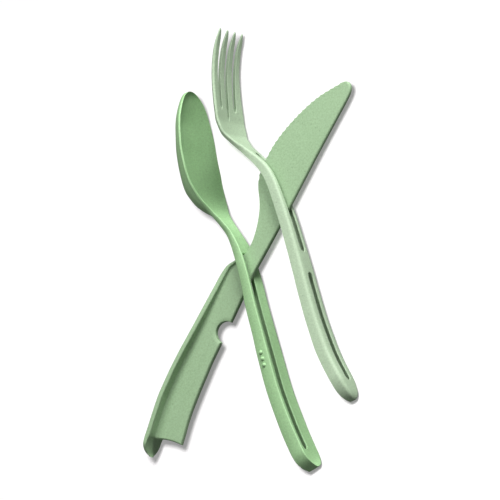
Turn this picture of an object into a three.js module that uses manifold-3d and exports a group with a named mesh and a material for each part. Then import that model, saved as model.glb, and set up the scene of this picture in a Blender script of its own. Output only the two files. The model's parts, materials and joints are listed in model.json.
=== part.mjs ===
import * as THREE from 'three';
import { mergeVertices } from 'three/addons/utils/BufferGeometryUtils.js';
import Module from 'manifold-3d';

// A three-piece plastic cutlery set, threaded together as it is handed out: the
// knife's flat plate runs through a long slot in the spoon's handle and through
// the upper slot in the fork's handle. Millimetres, +Z up, lying on the floor.
//
// Each piece is drawn in its own plane: x runs from the end of the handle to the
// tip, z to the food side, w across. The three planes share one w direction.

const wasm = await Module();
wasm.setup();

// Sizes shared by the pieces.
const wall = 2.2;            // moulded wall
const plate = 3.0;           // knife's plate
const fit = 0.7;             // air each side of the plate in a slot
const slot = plate + 2 * fit;
const turn = 6;              // steps in a rounded slot end

// Spoon.
const spoonLength = 192;
const spoonScale = spoonLength / 192;
const bowlWidth = 34.4;
const bowlDepth = 9.0;
const bowlWall = 2.0;
const spoonHandleWidth = 16.0;
const spoonSkirt = 8.1;      // height of the handle at its end
const spoonSlotFrom = 10;
const spoonSlotTo = 116.5;
const bumpSize = 2.0;
const bumpPitch = 3.1;
const bumpFrom = 53;

// Fork.
const forkLength = 189;
const forkScale = forkLength / 188;
const forkHeadWidth = 25.4;
const forkHandleWidth = 15;
const forkArch = 6.1;        // height of the handle near its end
const noseRun = 4.5;         // rounding of the crest down to the end of the handle
const noseDrop = 2.2;
const tines = 4;
const tineWidth = 3.8;
const tineLength = 38;
const lowerSlotFrom = 10;
const lowerSlotTo = 65;
const upperSlotFrom = 75.5;
const upperSlotTo = 129;

// Knife.
const knifeLength = 201;
const knifeScale = knifeLength / 201;
const bladeThick = 2.4;
const edgeThick = 0.7;
const toothPitch = 2.9;
const toothDepth = 0.45;
const bladeFrom = 118;
const flangeThick = 2.8;
const flangeWidth = 14.4;
const notchWidth = 11.6;
const notchAt = 69.2;
const notchMiddle = 3.6;

// How the pieces lie. The knife's own line runs from the end of its handle, in
// degrees from the set's X axis. The other two are threaded on it: a point along
// their own line lies on a point along the knife's, so they keep their places in
// the slots when a length changes. The drift is the middle plane's, across.
const knifeLies = { at: [-56.4, -95.8], heading: 59.2, drift: -0.35 };
const threaded = {
  spoon: { own: 99.57 * spoonScale, onKnife: 100.72 * knifeScale, heading: 113.2 },
  fork: { own: 99.61 * forkScale, onKnife: 136.52 * knifeScale, heading: 112.3 },
};

const mix = (a, b, t) => a + (b - a) * t;
const step01 = (t) => { const k = Math.min(1, Math.max(0, t)); return k * k * (3 - 2 * k); };

// Rows of numbers, the first of them x, read at any x along a smooth curve.
function rowsAt(rows, x) {
  let i = 0;
  while (i < rows.length - 2 && x > rows[i + 1][0]) i++;
  const a = rows[i], b = rows[i + 1], span = b[0] - a[0];
  const t = Math.min(1, Math.max(0, (x - a[0]) / span));
  return a.map((_, k) => {
    if (k === 0) return x;
    const m = (b[k] - a[k]) / span;
    const before = i > 0 ? (a[k] - rows[i - 1][k]) / (a[0] - rows[i - 1][0]) : m;
    const after = i < rows.length - 2 ? (rows[i + 2][k] - b[k]) / (rows[i + 2][0] - b[0]) : m;
    const s0 = before * m > 0 ? 2 * before * m / (before + m) : 0;
    const s1 = after * m > 0 ? 2 * after * m / (after + m) : 0;
    const t2 = t * t, t3 = t2 * t;
    return (2 * t3 - 3 * t2 + 1) * a[k] + (t3 - 2 * t2 + t) * span * s0
      + (3 * t2 - 2 * t3) * b[k] + (t3 - t2) * span * s1;
  });
}

// The middle line of a piece: points [x, z, ...] and the direction along it.
function lineAt(rows, x) {
  const h = 0.4, lo = rows[0][0], hi = rows[rows.length - 1][0];
  const p = rowsAt(rows, Math.max(lo, x - h)), q = rowsAt(rows, Math.min(hi, x + h));
  const along = new THREE.Vector2(q[0] - p[0], q[1] - p[1]).normalize();
  return { values: rowsAt(rows, x), along };
}

// Stations from a list of stops, closer together where a round end needs them.
function stations(stops) {
  const all = [];
  for (const [from, to, count, how] of stops) {
    for (let i = 0; i < count; i++) {
      const t = i / count;
      const k = how === 'start' ? 1 - Math.cos(t * Math.PI / 2)
        : how === 'end' ? Math.sin(t * Math.PI / 2) : t;
      all.push(mix(from, to, k));
    }
  }
  all.push(stops[stops.length - 1][1]);
  return all;
}

// Half the width of a slot with round ends at x.
function slotHalf(x, from, to, width) {
  const r = width / 2;
  if (x <= from || x >= to) return 0;
  const d = Math.min(x - from, to - x);
  return d >= r ? r : Math.sqrt(Math.max(0, r * r - (r - d) * (r - d)));
}

// A closed skin over one half-section per station and its mirror image. A half
// section is a list of strips, each a closed loop of [w, n] with its first and
// last point on the side next to the middle; strips that touch share that side.
function skin(line, sections) {
  const points = [], faces = [];
  const put = (frame, w, n) => {
    points.push(frame.values[0] - frame.along.y * n, w, frame.values[1] + frame.along.x * n);
    return points.length / 3 - 1;
  };
  const quad = (a, b, c, d) => { faces.push(a, b, c, a, c, d); };
  const rings = sections.map((section) => {
    const frame = lineAt(line, section.x);
    return [1, -1].map((side) => section.strips.map((strip) => ({
      ids: strip.top.map(([w, n]) => put(frame, side * w, n))
        .concat(strip.under.map(([w, n]) => put(frame, side * w, n))),
      tops: strip.top.length,
      open: strip.open,
    })));
  });
  for (let i = 0; i + 1 < rings.length; i++) {
    for (const side of [0, 1]) {
      const flip = side === 1;
      rings[i][side].forEach((a, k) => {
        const b = rings[i + 1][side][k];
        const n = a.ids.length;
        for (let j = 0; j < n; j++) {
          const next = (j + 1) % n;
          const inner = j === n - 1, outer = j === a.tops - 1;
          if (inner && !(a.open[0] || b.open[0])) continue;
          if (outer && !(a.open[1] || b.open[1])) continue;
          if (flip) quad(a.ids[next], b.ids[next], b.ids[j], a.ids[j]);
          else quad(a.ids[j], b.ids[j], b.ids[next], a.ids[next]);
        }
      });
    }
  }
  return solid(points, faces);
}

function weld(geometry) {
  geometry.deleteAttribute('normal');
  geometry.deleteAttribute('uv');
  const merged = mergeVertices(geometry, 1e-4);
  const index = Array.from(merged.index.array), kept = [];
  for (let i = 0; i < index.length; i += 3) {
    const [a, b, c] = index.slice(i, i + 3);
    if (a !== b && b !== c && a !== c) kept.push(a, b, c);
  }
  return new wasm.Manifold(new wasm.Mesh({
    numProp: 3,
    vertProperties: new Float32Array(merged.attributes.position.array),
    triVerts: new Uint32Array(kept),
  }));
}

function solid(points, faces) {
  const geometry = new THREE.BufferGeometry();
  geometry.setAttribute('position', new THREE.Float32BufferAttribute(points, 3));
  geometry.setIndex(faces);
  const body = weld(geometry);
  if (body.volume() > 0) return body;
  const back = [];
  for (let i = 0; i < faces.length; i += 3) back.push(faces[i], faces[i + 2], faces[i + 1]);
  geometry.setIndex(back);
  return weld(geometry);
}

// Flat outline in x and z, given a thickness across w.
function slab(outline, thick, middle = 0) {
  const shape = new THREE.Shape(outline.map(([x, z]) => new THREE.Vector2(x, z)));
  const geometry = new THREE.ExtrudeGeometry(shape, { depth: thick, bevelEnabled: false });
  geometry.rotateX(Math.PI / 2);
  geometry.translate(0, middle + thick / 2, 0);
  return weld(geometry);
}

function toGeometry(body) {
  const mesh = body.getMesh();
  const geometry = new THREE.BufferGeometry();
  geometry.setAttribute('position', new THREE.Float32BufferAttribute(mesh.vertProperties, 3));
  geometry.setIndex(new THREE.Uint32BufferAttribute(mesh.triVerts, 1));
  return geometry;
}

// Spoon: a dished web between two skirts, running out into the bowl.
// x, z of the rim, half width of the rim, dish, skirt, hollow (0) or full (1).
const halfHandle = spoonHandleWidth / 2, dishAt = 2.1;
const spoonRows = [
  [0, -1.2, halfHandle, dishAt, spoonSkirt * 0.74, 1],
  [2.4, -1.6, halfHandle, dishAt, spoonSkirt * 0.83, 1],
  [5.5, -2.1, halfHandle, dishAt, spoonSkirt * 0.89, 0],
  [11.4, -2.7, halfHandle, dishAt, spoonSkirt * 0.92, 0],
  [22, -3.5, halfHandle * 0.99, dishAt, spoonSkirt * 0.9, 0],
  [38, -3.9, halfHandle * 0.94, dishAt, spoonSkirt * 0.87, 0],
  [58, -2.75, halfHandle * 0.89, dishAt, spoonSkirt * 0.84, 0],
  [68, -2.0, halfHandle * 0.86, dishAt, spoonSkirt * 0.79, 0],
  [83, -0.9, halfHandle * 0.83, dishAt, spoonSkirt * 0.75, 0],
  [93, 0.15, halfHandle * 0.82, dishAt, spoonSkirt * 0.68, 0],
  [102, 0.8, halfHandle * 0.82, dishAt, spoonSkirt * 0.6, 0],
  [107, 0.9, halfHandle * 0.81, dishAt, spoonSkirt * 0.56, 0],
  [111, 0.7, halfHandle * 0.79, dishAt, spoonSkirt * 0.51, 0.1],
  [115.4, 0.05, halfHandle * 0.73, dishAt * 0.9, spoonSkirt * 0.44, 0.5],
  [120, -1.0, halfHandle * 0.68, dishAt * 0.8, spoonSkirt * 0.37, 1],
  [126, -2.9, halfHandle * 0.8, bowlDepth * 0.22, spoonSkirt * 0.31, 1],
  [132, -4.9, bowlWidth * 0.26, bowlDepth * 0.36, spoonSkirt * 0.25, 0.3],
  [137.3, -6.1, bowlWidth * 0.36, bowlDepth * 0.62, spoonSkirt * 0.2, 0],
  [142.5, -6.9, bowlWidth * 0.425, bowlDepth * 0.82, spoonSkirt * 0.17, 0],
  [147.7, -7.1, bowlWidth * 0.47, bowlDepth * 0.94, spoonSkirt * 0.16, 0],
  [155, -6.4, bowlWidth * 0.5, bowlDepth * 0.93, spoonSkirt * 0.15, 0],
  [162.3, -5.4, bowlWidth * 0.5, bowlDepth * 0.88, spoonSkirt * 0.15, 0],
  [170, -3.7, bowlWidth * 0.5, bowlDepth * 0.79, spoonSkirt * 0.15, 0],
  [178, -1.9, bowlWidth * 0.5, bowlDepth * 0.7, spoonSkirt * 0.15, 0],
  [185.5, -0.2, bowlWidth * 0.5, bowlDepth * 0.62, spoonSkirt * 0.14, 0],
  [192, 0.4, bowlWidth * 0.5, bowlDepth * 0.55, spoonSkirt * 0.13, 0],
].map(([x, ...rest]) => [x * spoonScale, ...rest]);

function spoonSection(x) {
  const [, , half, dish, skirt, full] = rowsAt(spoonRows, x);
  const end = 8.5 * spoonScale, tip = 30 * spoonScale, fromTip = spoonLength - x;
  let b = half;
  if (x < end) b *= Math.pow(1 - Math.pow(1 - x / end, 2.2), 1 / 2.2);
  if (fromTip < tip) b *= Math.pow(1 - Math.pow(1 - fromTip / tip, 1.92), 1 / 1.92);
  const s = Math.min(b, slotHalf(x, spoonSlotFrom * spoonScale, spoonSlotTo * spoonScale, slot));
  const bowl = step01((x / spoonScale - 121) / 24);
  const deep = dish * (b < half ? Math.min(1, b / half * 1.15) : 1);
  const top = (w) => -deep * (1 - (w / Math.max(b, 1e-6)) ** 2);
  const tops = [], under = [], across = 6, draft = 0.35 * (1 - bowl);
  for (let j = 0; j <= across; j++) {
    const w = mix(s, b, Math.sin(j / across * Math.PI / 2));
    tops.push([w, top(w)]);
  }
  const side = Math.max(0, b - draft);
  const inside = Math.max(s, Math.min(side, b - mix(wall - 0.2, 1.0, bowl)));
  const thick = mix(wall, bowlWall, bowl);
  const bottom = (w) => mix(-skirt, -skirt - (bowlDepth * 0.3) * (1 - (w / Math.max(b, 1e-6)) ** 2), bowl);
  const roof = (w) => Math.min(top(w) - thick * Math.min(1, b / 3 + 0.4), bowl > 0.5 ? -skirt * 0.9 : 1e9);
  under.push([side, -skirt]);
  under.push([inside, mix(-skirt, mix(-skirt, roof(inside), 0.6), bowl)]);
  for (let j = 1; j <= across; j++) {
    const w = mix(inside, s, 1 - Math.cos(j / across * Math.PI / 2));
    under.push([w, mix(roof(w), Math.min(bottom(w), top(w) - 0.6), full)]);
  }
  return { x, strips: [{ top: tops, under, open: [s > 0, b > 0] }] };
}

function makeSpoon() {
  const k = spoonScale, a = spoonSlotFrom, b = spoonSlotTo, r = slot / 2;
  const xs = stations([
    [0, 3, 6, 'start'], [3, 7, 4], [7, a, 2], [a, a + r, turn, 'start'], [a + r, 30, 6],
    [30, b - r - 2, 24], [b - r - 2, b - r, 1], [b - r, b, turn, 'end'], [b, 150, 16],
    [150, 180, 10], [180, 192, 12, 'end'],
  ]).map((x) => x * k);
  let body = skin(spoonRows, xs.map(spoonSection));
  for (let i = 0; i < 3; i++) {
    const x = (bumpFrom + i * bumpPitch) * k;
    const [, z, half, , skirt] = rowsAt(spoonRows, x);
    const ball = new THREE.SphereGeometry(bumpSize / 2, 12, 8);
    ball.translate(x, half - 0.2, z - skirt * 0.58);
    body = body.add(weld(ball));
  }
  return body;
}

// Fork: an arched handle with two slots in its crest, and four tines.
// x, z of the crest, half width, arch height, rise of the head's sides,
// arch (1) or head (0), full (1) or hollow (0).
const fh = forkHandleWidth / 2, hh = forkHeadWidth / 2;
const forkRows = [
  [0, 0.75, fh, forkArch * 0.74, 0, 1, 1],
  [1.2, 0.75, fh, forkArch * 0.86, 0, 1, 1],
  [3, 0.7, fh, forkArch, 0, 1, 1],
  [6.5, 0.55, fh, forkArch * 1.04, 0, 1, 0],
  [10, 0.3, fh, forkArch * 1.02, 0, 1, 0],
  [14, -0.3, fh, forkArch, 0, 1, 0],
  [20.7, -1.35, fh, forkArch, 0, 1, 0],
  [28, -2.0, fh * 0.98, forkArch, 0, 1, 0],
  [40.7, -2.3, fh * 0.93, forkArch * 0.95, 0, 1, 0],
  [56, -1.75, fh * 0.88, forkArch * 0.92, 0, 1, 0],
  [66, -1.1, fh * 0.84, forkArch * 0.9, 0, 1, 0],
  [80, -0.5, fh * 0.78, forkArch * 0.86, 0, 1, 0],
  [94, -0.15, fh * 0.73, forkArch * 0.82, 0, 1, 0],
  [106.9, -0.35, fh * 0.68, forkArch * 0.78, 0, 1, 0],
  [114, -1.0, fh * 0.64, forkArch * 0.75, 0, 1, 0],
  [120.5, -2.7, fh * 0.6, forkArch * 0.72, 0, 1, 0.3],
  [126, -5.6, fh * 0.62, forkArch * 0.66, 0, 0.9, 1],
  [132.3, -9.6, fh * 0.8, forkArch * 0.55, 0.2, 0.5, 1],
  [137, -13.0, hh * 0.68, forkArch * 0.48, 0.9, 0.15, 1],
  [142, -15.5, hh * 0.9, forkArch * 0.4, 1.3, 0, 1],
  [147, -15.9, hh * 0.985, forkArch * 0.37, 1.4, 0, 1],
  [152, -15.1, hh, forkArch * 0.35, 1.3, 0, 1],
  [160, -13.0, hh, forkArch * 0.34, 1.0, 0, 1],
  [170, -9.2, hh * 0.985, forkArch * 0.33, 0.6, 0, 1],
  [179, -4.8, hh * 0.97, forkArch * 0.31, 0.2, 0, 1],
  [188, 0.8, hh * 0.95, forkArch * 0.26, 0, 0, 1],
].map(([x, ...rest]) => [x * forkScale, ...rest]);

// Half width of a tine, x from the fork's tip.
function tineHalf(fromTip) {
  const t = fromTip / 9;
  const point = t < 1 ? Math.pow(Math.max(0, 1 - (1 - t) ** 2), 0.62) : 1;
  return (tineWidth / 2) * mix(0.7, 1, Math.min(1, fromTip / tineLength)) * point;
}

function forkSection(x) {
  const [, , half, height, rise, arch, full] = rowsAt(forkRows, x);
  const k = forkScale, end = 12 * k, fromTip = (forkLength - x) / k;
  let b = half;
  if (x < end) b *= Math.pow(1 - Math.pow(1 - x / end, 2.3), 1 / 2.3);
  const pitch = 2 * (hh - tineWidth / 2) / (tines - 1);
  const spread = mix(0.97, 1, step01(fromTip / tineLength));
  const middle = [pitch / 2 * spread, pitch * 1.5 * spread];
  const deeper = 3.5;
  const gapOpen = (root, join) => {
    const into = root - fromTip;
    if (into <= 0) return 0;
    return Math.min(1, Math.sqrt(1 - (1 - Math.min(1, into / join)) ** 2));
  };
  const wide = tineHalf(fromTip);
  const centreGap = gapOpen(tineLength + deeper, 5) * (middle[0] - wide);
  const sideGap = gapOpen(tineLength - 1, 1.6);
  const slotGap = Math.max(slotHalf(x, lowerSlotFrom * k, lowerSlotTo * k, slot),
    slotHalf(x, upperSlotFrom * k, upperSlotTo * k, slot));
  const s = Math.min(b * 0.999, Math.max(slotGap, fromTip < tineLength + deeper ? centreGap : 0));
  const mid = (middle[0] + middle[1]) / 2;
  const tined = fromTip <= tineLength + deeper + 6;
  const seam = Math.min(mid, b * 0.55);
  const inner = mix(seam, middle[0] + wide, sideGap * (tined ? 1 : 0));
  const outer = mix(seam, middle[1] - wide, sideGap * (tined ? 1 : 0));
  if (fromTip < tineLength - 3) b = middle[1] + wide;
  else if (fromTip < tineLength + 8) b = mix(middle[1] + wide, b, step01((fromTip - tineLength + 3) / 11));
  const p = 4;
  const drop = (w, hgt, width) => hgt * (1 - Math.pow(Math.max(0, 1 - Math.pow(Math.min(1, w / Math.max(width, 1e-6)), p)), 1 / p));
  const tip = fromTip < 9 ? mix(0.35, 1, Math.sqrt(fromTip / 9)) : 1;
  const nose = x < noseRun ? noseDrop * (1 - Math.sqrt(1 - (1 - x / noseRun) ** 2)) : 0;
  const top = (w) => mix(rise * (w / Math.max(half, 1e-6)) ** 2, -nose - drop(w, height - nose - 0.9, b), arch);
  const foot = (w) => mix(top(w) - height * tip, -height, arch);
  const hollowHalf = Math.max(1e-3, b - wall + 0.2);
  const roof = (w) => Math.max(-height, -wall - drop(w, height - wall, hollowHalf));
  const inside = Math.max(Math.min(s, b), Math.min(b, hollowHalf));
  const low = (w) => mix(mix(roof(w), foot(w), arch > 0.99 ? full : 1), foot(w), full);
  const strip = (from, to, count, edge) => {
    const tops = [], under = [];
    for (let j = 0; j <= count; j++) {
      const t = edge ? Math.sin(j / count * Math.PI / 2) : j / count;
      const w = mix(from, to, t);
      tops.push([w, top(w)]);
    }
    if (edge) {
      const rim = Math.max(from, Math.min(to, mix(to, inside, 1 - full)));
      under.push([to, foot(to)]);
      for (let j = 0; j <= count; j++) {
        const w = mix(Math.max(from, rim), from, 1 - Math.cos(j / count * Math.PI / 2));
        under.push([w, j === 0 ? foot(w) : low(w)]);
      }
    } else {
      for (let j = 0; j <= count; j++) {
        const w = mix(to, from, j / count);
        under.push([w, low(w)]);
      }
    }
    return { tops, under };
  };
  const one = strip(s, Math.max(s, inner), 3, false);
  const two = strip(Math.max(s, outer), b, 5, true);
  const sideOpen = sideGap > 0 && tined;
  return {
    x,
    strips: [
      { top: one.tops, under: one.under, open: [s > 0, sideOpen] },
      { top: two.tops, under: two.under, open: [sideOpen, b > 0] },
    ],
  };
}

function makeFork() {
  const r = slot / 2, root = 188 - tineLength;
  const xs = stations([
    [0, 3, 6, 'start'], [3, lowerSlotFrom, 4],
    [lowerSlotFrom, lowerSlotFrom + r, turn, 'start'], [lowerSlotFrom + r, lowerSlotTo - r, 14],
    [lowerSlotTo - r, lowerSlotTo, turn, 'end'], [lowerSlotTo, upperSlotFrom, 3],
    [upperSlotFrom, upperSlotFrom + r, turn, 'start'], [upperSlotFrom + r, upperSlotTo - r, 16],
    [upperSlotTo - r, upperSlotTo, turn, 'end'], [upperSlotTo, root - 3.5, 8],
    [root - 3.5, root + 1, 5], [root + 1, root + 2.6, 5, 'start'], [root + 2.6, 179, 9], [179, 188, 8, 'end'],
  ]).map((x) => x * forkScale);
  return skin(forkRows, xs.map(forkSection));
}

// Knife: a flat plate cut to an outline, with a flange along the handle's outer edge.
const backEdge = [
  [13.3, 11.8], [17.3, 10.3], [22.9, 8.8], [28.7, 7.6], [34.6, 6.7], [40.7, 5.9], [46.8, 5.2], [52.7, 4.5], [59, 4.1], [63.5, 3.8],
];
const backEdgeUpper = [
  [75, 3.2], [87.7, 2.3], [98.8, 1.4], [110, 1.0], [125, 0.9], [137, 0.7], [149, 0.45], [165, 0.35], [183, 0.3], [193, 0.3],
];
const tipRound = [[198.6, -0.6], [200.6, -2.2], [200.4, -4.0], [198.2, -6.2]];
const cuttingEdge = [
  [193.8, -8.9], [186, -13.6], [176, -17.7], [165, -20.5], [156, -21.7], [150, -21.4], [145, -20.9], [141, -20.0],
  [137.5, -18.4], [134, -16.3], [130.5, -13.6], [126.5, -11.0], [122, -9.0], [117, -7.5], [111, -6.7], [105, -7.2], [99, -9.2],
];
const flangeLine = [
  [0, 1.6, 0.5], [1.0, -0.4, 0.7], [3, -1.9, 0.82], [5.3, -3.1, 0.9], [8, -4.1, 0.96], [11, -4.95, 1], [16.5, -6.25, 1], [22.3, -7.55, 0.99],
  [28, -8.7, 0.97], [34.2, -9.5, 0.93], [40.3, -10.1, 0.9], [46.7, -10.5, 0.87], [53, -10.75, 0.84], [59.5, -10.9, 0.79], [65.8, -11.1, 0.74],
  [72, -11.35, 0.68], [78.5, -11.7, 0.59], [85, -12.05, 0.5], [91, -12.4, 0.36], [94.4, -12.3, 0.25], [96.8, -11.8, 0.18], [99.5, -10.3, 0.08],
];
const flangeEdge = flangeLine.slice(4, -1).map(([x, z]) => [x, z + 1.2]).reverse();

function smooth(points, count) {
  const curve = new THREE.CatmullRomCurve3(points.map(([x, z]) => new THREE.Vector3(x, z, 0)), false, 'centripetal');
  return curve.getSpacedPoints(count).map((p) => [p.x, p.y]);
}

// The cutting edge as shallow scallops, each a short arc between two points.
function scallops(points) {
  const curve = new THREE.CatmullRomCurve3(points.map(([x, z]) => new THREE.Vector3(x, z, 0)), false, 'centripetal');
  const length = curve.getLength(), count = Math.round(length / (toothPitch * knifeScale)), out = [];
  for (let i = 0; i < count; i++) {
    for (const t of [0, 0.25, 0.5, 0.75]) {
      const u = (i + t) / count;
      const p = curve.getPointAt(u), d = curve.getTangentAt(u);
      const bite = toothDepth * Math.sin(t * Math.PI);
      out.push([p.x + d.y * bite, p.y - d.x * bite]);
    }
  }
  out.push(points[points.length - 1]);
  return out;
}

function makeKnife() {
  const k = knifeScale, sized = (list) => list.map(([x, z, ...rest]) => [x * k, z, ...rest]);
  const notch = [], nx = notchAt * k, nr = notchWidth / 2;
  const a0 = Math.asin(0.1 / nr);
  for (let i = 0; i <= 14; i++) {
    const a = Math.PI + a0 + (Math.PI - 2 * a0) * i / 14;
    notch.push([nx + nr * Math.cos(a), notchMiddle + nr * Math.sin(a)]);
  }
  const toothed = scallops(sized(cuttingEdge.slice(0, 11)));
  const plain = smooth(sized(cuttingEdge.slice(10)), 14);
  const arch = smooth(sized([[7.6, -2.8], [9.6, -0.4], [11.4, 3.0], [12.7, 7.4], [13.3, 11.8]]), 8);
  const outline = [
    ...arch,
    ...smooth(sized(backEdge), 12).slice(1, -1),
    ...notch,
    ...smooth(sized(backEdgeUpper), 14).slice(1),
    ...smooth(sized([backEdgeUpper.at(-1), ...tipRound]), 8).slice(1),
    ...toothed,
    ...plain.slice(1),
    ...smooth(sized(flangeEdge), 14).slice(1),
  ];
  let body = slab(outline, plate);
  // Each face of the blade is planed down: a step of nothing at the neck, then
  // a slope to the cutting edge.
  for (const side of [1, -1]) {
    const lean = Math.atan2((bladeThick - edgeThick) / 2, 15);
    const cut = new THREE.BoxGeometry(140 * k, 12, 60);
    cut.translate(0, side * (6 + bladeThick / 2), -30);
    cut.rotateX(side * lean);
    cut.translate((bladeFrom + 70) * k, 0, -6);
    body = body.subtract(weld(cut));
    const top = new THREE.BoxGeometry(140 * k, 12, 60);
    top.translate((bladeFrom + 70) * k, side * (6 + bladeThick / 2), 0);
    const ramp = side * Math.atan2((plate - bladeThick) / 2, 10);
    const near = new THREE.BoxGeometry(140 * k, 12, 60);
    near.translate(70 * k, side * (6 + plate / 2), 0);
    near.rotateZ(-ramp);
    near.translate(bladeFrom * k, 0, 0);
    body = body.subtract(weld(top).intersect(weld(near)));
  }
  const line = sized(flangeLine);
  const xs = stations([[0, 4, 8, 'start'], [4, 60, 16], [60, 92, 12], [92, 100, 8, 'end']]).map((x) => x * k);
  const flange = skin(line, xs.map((x) => {
    const [, , wide] = rowsAt(line, x);
    const round = x < 7 * k ? Math.pow(1 - Math.pow(1 - x / (7 * k), 2), 0.5) : x > 95 * k ? Math.sqrt(Math.max(0, 1 - ((x / k - 95) / 5) ** 2)) : 1;
    const b = Math.max(0, flangeWidth / 2 * Math.max(wide, 0.22) * round);
    const t = flangeThick * (x < 4 * k ? mix(0.7, 1, x / (4 * k)) : mix(1, 0.4, step01((x / k - 86) / 14)));
    const steps = [0, 0.5, 1];
    return {
      x,
      strips: [{
        top: steps.map((u) => [b * u, t]), under: steps.map((u) => [b * (1 - u), 0]), open: [false, b > 0],
      }],
    };
  }));
  body = body.add(flange);
  return body;
}

// The pieces are turned and moved into one plane, w standing up.
function laid(body, { at, heading, drift }) {
  const a = THREE.MathUtils.degToRad(heading);
  const along = new THREE.Vector3(Math.cos(a), Math.sin(a), 0);
  const food = new THREE.Vector3(Math.sin(a), -Math.cos(a), 0);
  const across = new THREE.Vector3(0, 0, 1);
  const m = new THREE.Matrix4().makeBasis(along, across, food).setPosition(at[0], at[1], drift);
  return body.transform(Array.from(m.elements));
}

// Where the end of a handle lies, from the point at which its line meets the knife's.
function onTheKnife({ own, onKnife, heading }) {
  const a = THREE.MathUtils.degToRad(heading), b = THREE.MathUtils.degToRad(knifeLies.heading);
  return {
    at: [
      knifeLies.at[0] + onKnife * Math.cos(b) - own * Math.cos(a),
      knifeLies.at[1] + onKnife * Math.sin(b) - own * Math.sin(a),
    ],
    heading,
    drift: 0,
  };
}

// The set comes to rest on the three lowest points under its centre of weight.
function settled(bodies) {
  const all = wasm.Manifold.compose(bodies);
  const hull = all.hull().getMesh();
  const centre = new THREE.Vector3();
  let total = 0;
  for (const body of bodies) {
    const { vertProperties: v, triVerts: t } = body.getMesh();
    const p = (i) => new THREE.Vector3(v[3 * i], v[3 * i + 1], v[3 * i + 2]);
    for (let i = 0; i < t.length; i += 3) {
      const [a, b, c] = [p(t[i]), p(t[i + 1]), p(t[i + 2])];
      const share = a.dot(b.clone().cross(c)) / 6;
      centre.addScaledVector(a.add(b).add(c), share / 4);
      total += share;
    }
  }
  centre.divideScalar(total);
  const { vertProperties: v, triVerts: t } = hull;
  const ray = new THREE.Ray(), hit = new THREE.Vector3();
  let best = null;
  for (let i = 0; i < t.length; i += 3) {
    const [a, b, c] = [0, 1, 2].map((j) => new THREE.Vector3(...[0, 1, 2].map((q) => v[3 * t[i + j] + q])));
    const n = b.clone().sub(a).cross(c.clone().sub(a));
    if (n.length() < 1e-6) continue;
    n.normalize();
    if (n.z > -0.8) continue;
    ray.origin.copy(centre);
    ray.direction.copy(n);
    if (ray.intersectTriangle(a, b, c, false, hit)) best = { n, a };
  }
  const q = new THREE.Quaternion().setFromUnitVectors(best.n, new THREE.Vector3(0, 0, -1));
  const rest = new THREE.Matrix4().makeRotationFromQuaternion(q);
  const turned = bodies.map((body) => body.transform(Array.from(rest.elements)));
  const box = wasm.Manifold.compose(turned).boundingBox();
  const move = [-(box.min[0] + box.max[0]) / 2, -(box.min[1] + box.max[1]) / 2, -box.min[2]];
  return turned.map((body) => body.translate(move));
}

const pieces = {
  spoon: laid(makeSpoon(), onTheKnife(threaded.spoon)),
  fork: laid(makeFork(), onTheKnife(threaded.fork)),
  knife: laid(makeKnife(), knifeLies),
};
const colours = { spoon: '#93b98a', fork: '#a5c59c', knife: '#9cbf92' };

const set = new THREE.Group();
set.name = 'cutlery_set';
const rested = settled(Object.values(pieces));
Object.keys(pieces).forEach((name, i) => {
  const material = new THREE.MeshStandardMaterial({ color: colours[name], roughness: 0.62, metalness: 0 });
  const mesh = new THREE.Mesh(toGeometry(rested[i]), material);
  mesh.name = name;
  set.add(mesh);
});

export default set;
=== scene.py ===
import json
import math
from bisect import bisect_right

import bpy
import numpy as np
from mathutils import Matrix, Vector

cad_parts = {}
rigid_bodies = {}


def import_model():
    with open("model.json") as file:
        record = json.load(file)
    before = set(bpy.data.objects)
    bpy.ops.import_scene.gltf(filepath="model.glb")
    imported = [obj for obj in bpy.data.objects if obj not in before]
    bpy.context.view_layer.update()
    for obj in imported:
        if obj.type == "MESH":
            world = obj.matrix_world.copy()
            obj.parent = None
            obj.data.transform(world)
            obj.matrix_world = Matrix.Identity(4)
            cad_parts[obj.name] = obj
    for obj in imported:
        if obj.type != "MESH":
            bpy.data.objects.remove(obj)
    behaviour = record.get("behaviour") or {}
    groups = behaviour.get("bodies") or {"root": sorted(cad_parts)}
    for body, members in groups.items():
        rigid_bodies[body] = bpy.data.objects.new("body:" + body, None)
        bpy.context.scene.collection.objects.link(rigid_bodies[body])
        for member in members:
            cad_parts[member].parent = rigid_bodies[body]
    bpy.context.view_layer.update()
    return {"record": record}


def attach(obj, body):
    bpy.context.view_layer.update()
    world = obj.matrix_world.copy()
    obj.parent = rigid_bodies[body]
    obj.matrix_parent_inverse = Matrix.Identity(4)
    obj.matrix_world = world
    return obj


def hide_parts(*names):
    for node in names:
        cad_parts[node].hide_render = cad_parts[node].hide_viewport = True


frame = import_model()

mm = 0.001
tiny = 1e-6

# The set as it is threaded together: lines in one plane, in millimetres and degrees.
# The knife's line is given; the others cross it at a point along their own handle.
layout = {
    "knifeEnd": (-56.4, -95.8),
    "knifeHeading": 59.2,
    "knifeDrift": -0.35,
    "spoonHeading": 113.2,
    "spoonOwn": 99.57,
    "spoonOnKnife": 100.72,
    "forkHeading": 112.3,
    "forkOwn": 99.61 * 189 / 188,  # the fork's table is drawn for 188 and stretched to 189
    "forkOnKnife": 136.52,
    # where the record's mount sits on the knife: along it, out of the plate, towards its back
    "plateMark": (35.0, 1.5, -1.0),
}

# Shared by the spoon and the fork, whose handles are open channels
slotWidth = 4.4
wallThick = 2.0
roofThick = 1.0
mouthThin = 0.5  # the share of the roof left at a slot's mouth
mouthRun = 2.5
cornerShare = 0.3  # where the middle of a small round corner lies, in radii


def mix(a, b, t):
    return a + (b - a) * t


def ease(t):
    k = min(1.0, max(0.0, t))
    return k * k * (3 - 2 * k)


# how far a rounded edge lies under the face it belongs to
def roundOff(distance, radius):
    gap = np.clip(radius - np.asarray(distance, float), 0, radius)
    return radius - np.sqrt(np.maximum(radius * radius - gap * gap, 0))


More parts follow.
